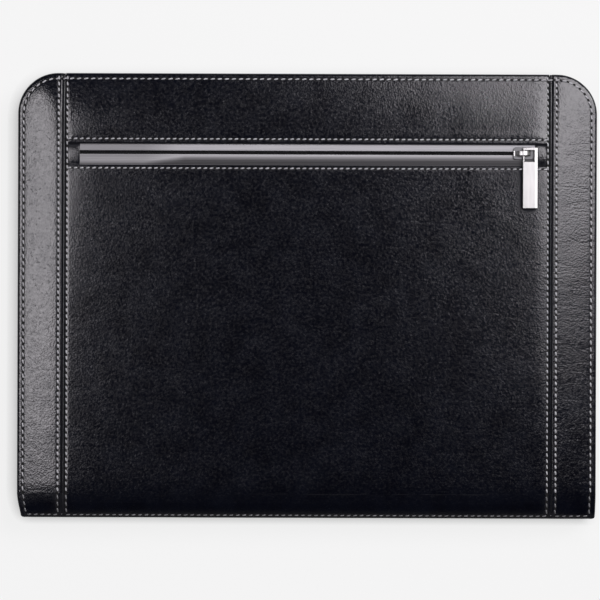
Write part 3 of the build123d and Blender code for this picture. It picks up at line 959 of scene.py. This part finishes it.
def make_gutter():
    """The lining's two strips round the inside of the folds, which meet half way up the spine."""
    low, high = node_box("spine_lining")
    face_y, thick = high[1], high[1] - low[1]
    end_y = START + 1.5
    half = SPINE_HALF - 2.0

    def under(point):
        x, y, z = point
        away = Vector((0, y - START - 4, z - MID_Z)).normalized() * thick
        return (x, y + away.y, z + away.z)

    front_z, back_z = node_box("front_lining")[0][2], node_box("back_lining")[1][2]
    for upper, name, wall_z, end_z, nodes in ((True, "front", high[2] - 2, front_z, ["spine_lining"]),
                                              (False, "back", low[2] + 2, back_z, [])):
        path = [(face_y, mix(MID_Z, wall_z, i / 3)) for i in range(3)]
        path += [(mix(end_y, face_y, cos), mix(wall_z, end_z, sin)) for cos, sin in arc(14)]
        rows = []
        for i, (y, z) in enumerate(path):
            pucker = 0.12 * math.sin(math.pi * i / 17)
            rows.append([(x, y + pucker * ripple(x, 9 * i, 17, 5.5), z) for x in dense(-half, half, 6.0)])
        shape = closed_grid(rows, under, flip=upper)
        piece = add_piece(f"gutter_cloth_{name}", shape, LINING, bend_of(upper), "lining_cloth", *nodes)
        flat = (2 * half * MM, path_length(path) * MM)


# Pockets, card slots and pen loop

def pocket_leather(name, body, box, face_up, lip, lip_z, nodes, row=2.4):
    """A leather panel with rolled edges, open on its left. On its other sides it is sewn down: there it is
    as deep as lip_z over a width of lip, and a row of stitches runs beside the edge."""
    (x0, y0, z0), (x1, y1, z1) = box
    face, back, outward = (z1, z0, 1) if face_up else (z0, z1, -1)

    def sewn_gaps(x, y):
        return x1 - x, y - y0, y1 - y

    def height(x, y):
        gaps = sewn_gaps(x, y)
        edge = min(x - x0, *gaps)
        depth = 0.8 * roll(edge, 0.6) + sum(0.14 * bell(gap - row, 0.7) for gap in gaps)
        depth += clamp(edge / 8) * (0.06 + 0.06 * ripple(x, y, 26, z0))
        return face - outward * depth

    def under(point):
        x, y, _ = point
        return (x, y, lip_z if min(sewn_gaps(x, y)) < lip else back)

    def place(x, y):
        return Vector((x, y, height(x, y))), Vector((0, 0, outward))

    rows = [[(x, y, height(x, y)) for x in dense(x0, x1, 3.0)] for y in dense(y0, y1, 3.0)]
    shape = closed_grid(rows, under, flip=not face_up)
    add_piece(f"{name}_leather", shape, POCKET_LEATHER, body, "pocket_leather", *nodes)
    left, right, low, high = x0 + 0.5, x1 - row, y0 + row, y1 - row
    corners = [(left, low), (right, low), (right, high), (left, high)]
    sewing = Sewing()
    sewing.row(corners, place, POCKET_PITCH, width=0.7, lift=0.05, hole=1.0)
    sewing.finish(name, body)


def make_pockets():
    """The pad's pocket, the document pocket and the card slots."""
    floor, ceiling = node_box("back_lining")[1][2], node_box("front_lining")[0][2]
    for name, body, face_up, lip, lip_z in (("pad_pocket", "back_cover", True, 4.0, floor),
                                            ("document_pocket", "front_cover", False, 3.0, ceiling)):
        nodes = [f"{name}_panel", f"{name}_lips"]
        pocket_leather(name, body, node_box(nodes[0]), face_up, lip, lip_z, nodes)
    for name in ("card_slot_1", "card_slot_2", "card_slot_3"):
        box = node_box(name)
        pocket_leather(name, "front_cover", box, False, 2.0, box[1][2], [name], row=2.0)


def make_pen_loop():
    """A leather band round a pen, sewn to the spine by a flat foot."""
    low, high = node_box("pen_loop")
    y, z = (low[1] + high[1]) / 2, (low[2] + high[2]) / 2
    outer = (high[1] - low[1]) / 2
    thick, foot = 0.9, 4.0
    xs = dense(low[0], high[0], 2.5)
    section = []
    for x in xs:
        edge = min(x - low[0], high[0] - x)
        section.append((x, outer - 0.7 * roll(edge, 0.5) - 0.08 * bell(edge - 2.0, 0.6)))
    section += [(x, outer - thick) for x in xs[::-1]]
    circle = arc(56, 2 * math.pi)[:-1]
    rings = [[(x, y + radius * cos, z + radius * sin) for x, radius in section] for cos, sin in circle]
    rows = []
    for up in dense(-foot, foot, 1.0):
        face_y = low[1] + thick - 0.04 - 0.6 * roll(foot - abs(up), 0.6)
        rows.append([(x, face_y, z + up) for x in xs])
    band = flipped(*closed_rings(rings, loop=True))
    base = closed_grid(rows, lambda p: (p[0], low[1] + 0.05, p[2]), flip=True)
    shape = merge([band, base])
    add_piece("pen_loop_leather", shape, POCKET_LEATHER, "spine", "pocket_leather", "pen_loop")


# Zips

def tooth(centre, along, across, up, size):
    """One turn of a nylon coil, seen as a rounded tooth: size is its extent along, across and up."""
    along, across, up = (way * (extent / 2) for way, extent in zip((along, across, up), size))
    return flipped(*strand(centre, across, along, up, rings=6, sides=8, power=4, least=0.08))


def make_coil(node, body, path, shift, tooth_at):
    """A coil with a tooth every pitch along a flat path: tooth_at(point, direction) gives its shape."""
    count = int((path_length(path) - shift) / TOOTH_PITCH) + 1
    parts = [tooth_at(*path_place(path, shift + i * TOOTH_PITCH)) for i in range(count)]
    add_piece(f"{node}_teeth", merge(parts), COIL, body, "coil", node)


def make_pocket_coils():
    """The coils under the pocket's tapes, whose teeth mesh in the gap between them."""
    along, across, up = Vector((1, 0.12, 0)).normalized(), Vector((0, 1, 0)), Vector((0, 0, 1))
    for side, node, shift in ((1, "pocket_coil_upper", 0.0), (-1, "pocket_coil_lower", TOOTH_PITCH / 2)):
        low, high = node_box(node)
        y, z = (low[1] + high[1]) / 2 - side * 0.5, (low[2] + high[2]) / 2
        size = (0.85, high[1] - low[1] + 1.0, high[2] - low[2] - 0.1)

        def tooth_at(point, _):
            return tooth(Vector((point.x, y, z)), along, across, up, size)

        make_coil(node, "front_cover", [(low[0] + 0.5, y), (high[0] - 0.5, y)], shift, tooth_at)


def make_main_coils():
    """The main zip's two coils, round three sides of the case."""
    for cover, rise, shift in (("back", 0.35, 0.0), ("front", -0.35, TOOTH_PITCH / 2)):
        node = f"{cover}_zip_coil"
        low, high = node_box(node)
        z = (low[2] + high[2]) / 2 + rise
        size = (0.95, high[2] - low[2] + 0.6, COIL_DEPTH - 0.1)

        def tooth_at(point, along):
            out = Vector((along.y, -along.x, 0))
            return tooth(Vector((*point, z)), along.to_3d(), Vector((0, 0, 1)), out, size)

        path = rim_path(HALF - high[0] + COIL_DEPTH / 2, low[1])
        make_coil(node, f"{cover}_cover", path, 0.6 + shift, tooth_at)


def two_sides(line, half):
    """The two faces of a strip with this middle line: the line moved by half to its left and right."""
    left, right = [], []
    for i, (a, b) in enumerate(line):
        before, after = line[max(0, i - 1)], line[min(len(line) - 1, i + 1)]
        way = Vector((after[0] - before[0], after[1] - before[1])).normalized() * half
        left.append((a - way.y, b + way.x))
        right.append((a + way.y, b - way.x))
    return left, right


def fine_path(path, step=6.0):
    """The same path with points no further apart than step."""
    fine = [path[0]]
    for a, b in zip(path, path[1:]):
        count = max(1, math.ceil(math.dist(a, b) / step))
        fine += [(mix(a[0], b[0], i / count), mix(a[1], b[1], i / count)) for i in range(1, count + 1)]
    return fine


def make_main_tapes():
    """The main zip's tapes: a flange sewn under the cover's edge, turned into a wall up to the coil."""
    bend, start_y = 1.0, START + 0.3
    for cover, up in (("back", 1), ("front", -1)):
        node = f"{cover}_zip_tape"
        near = 0 if up > 0 else 1
        coil = node_box(f"{cover}_zip_coil")
        root_z, free_z = node_box(node)[near][2] + up * 0.25, coil[near][2] + up * 0.6
        wall = HALF - coil[1][0] + COIL_DEPTH / 2
        turned = [(wall - bend * (1 - sin), root_z + up * bend * (1 - cos)) for cos, sin in arc(6)]
        line = [(0.9, root_z), *turned, (wall, mix(root_z, free_z, 0.6)), (wall, free_z)]
        outer, inner = ([[(x, y, z) for x, y in fine_path(rim_path(inset, start_y))] for inset, z in side]
                        for side in two_sides(line, 0.24))
        shape = closed_grid(inner, outer)
        piece = add_piece(f"{node}_cloth", shape, TAPE_BLACK, f"{cover}_cover", "tape_black", node)
        flat = (path_length(line) * MM, path_length(rim_path(wall - 1.5, start_y)) * MM)


def make_pocket_tapes():
    """The pocket's tapes: a raised edge beside the gap, then the tape dips under the leather."""
    for node, side, edge_y, cloth in (("pocket_tape_upper", 1, WINDOW_TOP, TAPE_UPPER),
                                      ("pocket_tape_lower", -1, WINDOW_LOW, TAPE_LOWER)):
        low, high = node_box(node)
        near = low[1] if side > 0 else high[1]
        width = max(high[1] - low[1], 10.4)
        window = abs(edge_y - near)

        def height(x, away):
            bead = 0.28 * bell(away - 0.7, 0.55)
            fall = 0.75 * clamp((away - 1.4) / (window - 1.4)) ** 1.6
            wave = 0.05 * ripple(x, away * 5, 24, side * 2.0)
            return high[2] - 0.12 - roll(away, 0.35) + bead - fall + wave

        xs = dense(low[0], high[0], 3.0)
        rows = [[(x, near + side * away, height(x, away)) for x in xs] for away in dense(0, width, 0.8)]
        shape = closed_grid(rows, lambda p: (p[0], p[1], p[2] - 0.5), flip=side < 0)
        piece = add_piece(f"{node}_cloth", shape, cloth, "front_cover", "tape_grey", node)


def make_pocket_bag():
    """The pocket's cloth bag in one folded piece: from the upper tape, down behind the zip, along the
    padding to the pocket's foot, and back up under the leather to the lower tape."""
    low, high = node_box("pocket_bag")
    back_z, front_z = node_box("front_foam")[1][2] + 0.15, high[2] - 0.2
    floor, foot = low[2], low[1] + 0.8
    upper, lower = ZIP_Y + TROUGH, ZIP_Y - TROUGH
    line = [(high[1], TAPE_UP_LOW[2] - 0.2), (upper, TAPE_UP_LOW[2] - 0.3), (upper - 0.3, floor + 0.6),
            (upper - 1.0, floor + 0.2), (ZIP_Y, floor + 0.16), (lower + 1.0, floor + 0.2),
            (lower + 0.3, floor + 0.6), (lower, back_z - 0.2), (lower - 1.0, back_z)]
    line += [(mix(lower - 1.0, foot, i / 12), back_z) for i in range(1, 13)]
    line += [(foot - 0.6, mix(back_z, front_z, 0.5)), (foot, front_z)]
    line += [(mix(foot, TAPE_DOWN_LOW[1] - 0.2, i / 12), front_z) for i in range(1, 13)]
    half = WINDOW_X + 4.8
    xs = dense(-half, half, 8.0)
    outer, inner = ([[(x, y, z + 0.05 * ripple(x, middle_y, 20, 6.0)) for x in xs]
                     for (y, z), (middle_y, _) in zip(side, line)] for side in two_sides(line, 0.06))
    shape = closed_grid(outer, inner)
    piece = add_piece("pocket_bag_cloth", shape, LINING, "front_cover", "bag_cloth", "pocket_bag")
    path_length(line) * MM


def make_foam():
    """Padding under the front leather, with a channel for the pocket's zip."""
    low, high = node_box("front_foam")
    inset = HALF - high[0]

    def height(x, y):
        if abs(y - ZIP_Y) < TROUGH - 0.1 and abs(x) < WINDOW_X + 5:
            return low[2] + 0.1
        top = min(high[2], crown(x, y) - LEATHER - 0.25) - 0.5 * roll(rim_distance(x, y) - inset, 1.0)
        return max(low[2] + 0.15, top + 0.03 * ripple(x, y, 12, 2.2))

    walls = [ZIP_Y + side * away for side in (-1, 1) for away in (TROUGH - 0.2, TROUGH)]
    rows = cover_rows(sorted({*dense(low[1], high[1], 4.0), *walls}), 4.0, inset, height)
    shape = closed_grid(rows, lambda p: (p[0], p[1], low[2]))
    piece = add_piece("front_padding", shape, FOAM, "front_cover", "foam", "front_foam")


# Writing pad

def make_pad():
    """The pad's sheets: a block whose sides show the separate leaves, under a ruled top sheet."""
    low, high = node_box("pad_sheets")
    steps = 44
    xs, ys = (dense(low[axis], high[axis], 30.0, fine=(0.0, 0.4)) for axis in (0, 1))
    ring = [(x, low[1]) for x in xs] + [(high[0], y) for y in ys[1:]]
    ring += [(x, high[1]) for x in xs[-2::-1]] + [(low[0], y) for y in ys[-2:0:-1]]

    def moved_in(value, axis, inset):
        if value - low[axis] < 1:
            return value + inset
        return value - inset if high[axis] - value < 1 else value

    rings = []
    for i in range(steps + 1):
        z = mix(low[2], high[2] - 0.2, i / steps)
        inset = 0.25 if i % 2 else 0.05 + 0.06 * (1 + math.sin(i * 7.31))
        rings.append([(moved_in(x, 0, inset), moved_in(y, 1, inset), z) for x, y in ring])
    shape = closed_rings(rings)
    add_piece("pad_leaves", shape, PAPER, "back_cover", "paper", "pad_sheets", smooth_angle=20)
    xs, ys = (dense(low[axis] + 0.2, high[axis] - 0.2, 5.0) for axis in (0, 1))
    rows = [[(x, y, high[2] - 0.1 + 0.06 * ripple(x, y, 60, 8.8)) for x in xs] for y in ys]
    shape = closed_grid(rows, lambda p: (p[0], p[1], p[2] - 0.1))
    add_piece("pad_top_sheet", shape, RULED, "back_cover", "paper")


make_front_panels()
make_welts()
sew_front()
make_spine()
sew_spine()
make_back()
make_lining("back_lining", "back_cover", True)
make_lining("front_lining", "front_cover", False)
make_gutter()
make_pockets()
make_pen_loop()
make_pocket_coils()
make_pocket_tapes()
make_pocket_bag()
make_foam()
make_main_coils()
make_main_tapes()
make_pad()


# Metal and inner nodes keep their CAD shape

def paint(material, *nodes):
    """Gives CAD nodes a finished material."""
    for name in nodes:
        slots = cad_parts[name].data.materials
        slots.clear()
        slots.append(material)


paint(SLIDER, "pocket_slider")
paint(METAL, "pocket_pull", "main_slider", "main_pull")
paint(METAL, "pocket_zip_stops", "back_zip_stops", "front_zip_stops")
paint(BOARD, "back_board", "front_board", "spine_board", "pad_backing")
paint(BINDING, "pad_binding")


# Stage, lights and camera

def make_stage():
    """A pale floor that keeps the case's soft shadow, and whose glow holds a painted shadow where the case
    stands close towards the light.
    """
    look = Look("pale floor")
    look.tree.nodes.clear()
    rays = look.node("LightPath").outputs
    seen = look.maths("MAXIMUM", rays["Is Camera Ray"], rays["Is Glossy Ray"])
    # painted shadow: the floor's glow is dimmed where the case stands close towards the upper right
    shadow = look.ramp(look.open_share(9.5, (0.78, 0.36, 0.51)), 0.48, 0.835, 0.6, 0.98)
    glow = look.node("Emission", Color=(1, 1, 1, 1), Strength=look.maths("MULTIPLY", seen, shadow))
    diffuse = look.node("BsdfDiffuse", Color=(0.085, 0.085, 0.085, 1))
    both = look.node("AddShader")
    look.feed(both.inputs[0], diffuse.outputs["BSDF"])
    look.feed(both.inputs[1], glow.outputs["Emission"])
    look.node("OutputMaterial", Surface=both.outputs["Shader"])
    mesh = bpy.data.meshes.new("floor")
    corners = [(x, y, 0) for x, y in ((-6, -6), (6, -6), (6, 6), (-6, 6))]
    mesh.from_pydata(corners, [], [(0, 1, 2, 3)])
    mesh.materials.append(look.material)
    floor = bpy.data.objects.new("floor", mesh)
    floor.location.z = -0.6 * MM
    bpy.context.scene.collection.objects.link(floor)


def area_light(name, place, target, width, height, watts, colour=(1, 1, 1), spin=0.0):
    """A soft box at place that points at target, in metres, turned about its axis by spin degrees."""
    data = bpy.data.lights.new(name, "AREA")
    data.shape = "RECTANGLE"
    data.size = width
    data.size_y = height
    data.energy = watts
    data.color = colour
    lamp = bpy.data.objects.new(name, data)
    lamp.location = place
    aim = (Vector(target) - Vector(place)).to_track_quat("-Z", "Y")
    lamp.rotation_euler = (aim @ Quaternion((0, 0, 1), math.radians(spin))).to_euler()
    bpy.context.scene.collection.objects.link(lamp)


WARM = (0.995, 0.955, 1.0)


def make_lights():
    """A key light from the upper right, soft boxes on both sides for the gloss, and a dim room."""
    area_light("key", (1.3, 0.75, 1.5), (0, 0, 0.03), 0.5, 0.5, 12)
    area_light("left box", (-0.585, 0.12, 1.2), (-0.585, 0.12, 0), 0.30, 0.66, 5.45, WARM, -13)
    area_light("left spill", (-0.37, 0.11, 1.2), (-0.37, 0.11, 0), 0.16, 0.26, 0.16, WARM)
    area_light("right box", (0.53, 0.50, 1.2), (0.53, 0.50, 0), 0.58, 0.86, 13.0, WARM, 14)
    world = bpy.data.worlds.new("room")
    bpy.context.scene.world = world
    world.use_nodes = True
    background = world.node_tree.nodes["Background"]
    background.inputs["Color"].default_value = (1.0, 1.0, 1.0, 1)
    background.inputs["Strength"].default_value = 0.03


def make_camera():
    """Straight down, as the photograph looks, with the frame 355 mm wide at the cover's height."""
    data = bpy.data.cameras.new("camera")
    camera = bpy.data.objects.new("camera", data)
    bpy.context.scene.collection.objects.link(camera)
    height, cover_height = 1.7, 0.028
    frame_width = 0.3549
    data.sensor_width = 36.0
    data.lens = data.sensor_width * (height - cover_height) / frame_width
    camera.location = (-0.00415, -0.0021, height)
    camera.rotation_euler = (0, 0, math.radians(0.2))
    bpy.context.scene.camera = camera


make_stage()
make_lights()
make_camera()
bpy.context.scene.view_settings.view_transform = "Standard"
